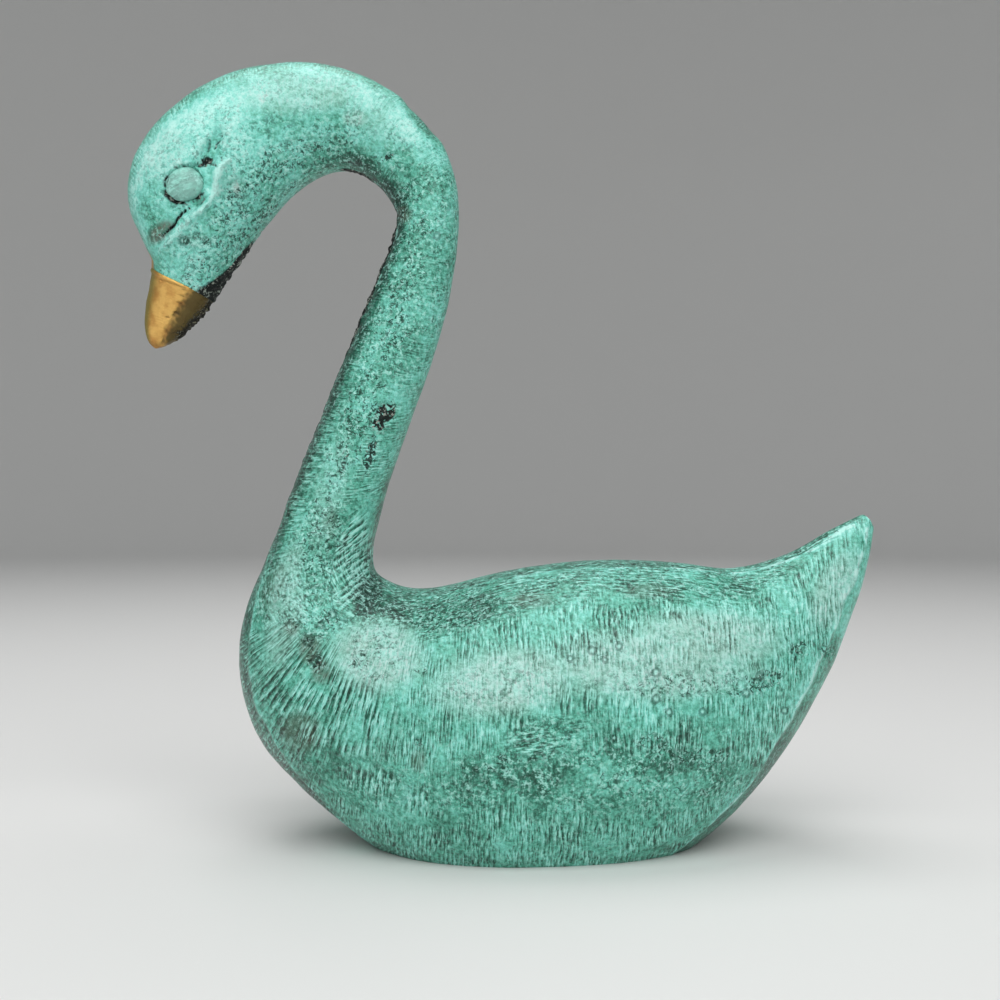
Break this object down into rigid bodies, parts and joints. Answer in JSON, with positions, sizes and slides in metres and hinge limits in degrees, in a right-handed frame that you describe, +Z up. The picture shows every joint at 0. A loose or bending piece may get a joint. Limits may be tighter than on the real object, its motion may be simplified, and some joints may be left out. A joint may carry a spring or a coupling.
{
  "type": "swan figurine",
  "caption": "Free-standing swan figurine in green-patinated brass with a bare brass beak: hollow split body, solid S-curved neck and head seated on a tenon, flat open base.",
  "frame": {"origin": "on the standing plane, under the middle of the figurine's bounding box", "axes": "+X towards the tail, +Y to the swan's right side, +Z up"},
  "size_m": [0.1248, 0.0462, 0.13],
  "materials": {
    "verdigris_patina": "mottled teal-green patina, hand filed, waxed satin",
    "bare_brass": "bare brass, filed and slightly tarnished",
    "braze_filler": "dull brazing filler, unfinished"
  },
  "bodies": {
    "root": {"body_left_shell": "verdigris_patina", "body_right_shell": "verdigris_patina", "rear_seam_braze": "braze_filler", "breast_seam_braze": "braze_filler", "neck_and_head": "verdigris_patina", "neck_braze_ring": "braze_filler", "beak": "bare_brass", "left_eye": "verdigris_patina", "right_eye": "verdigris_patina"}
  },
  "joints": []
}
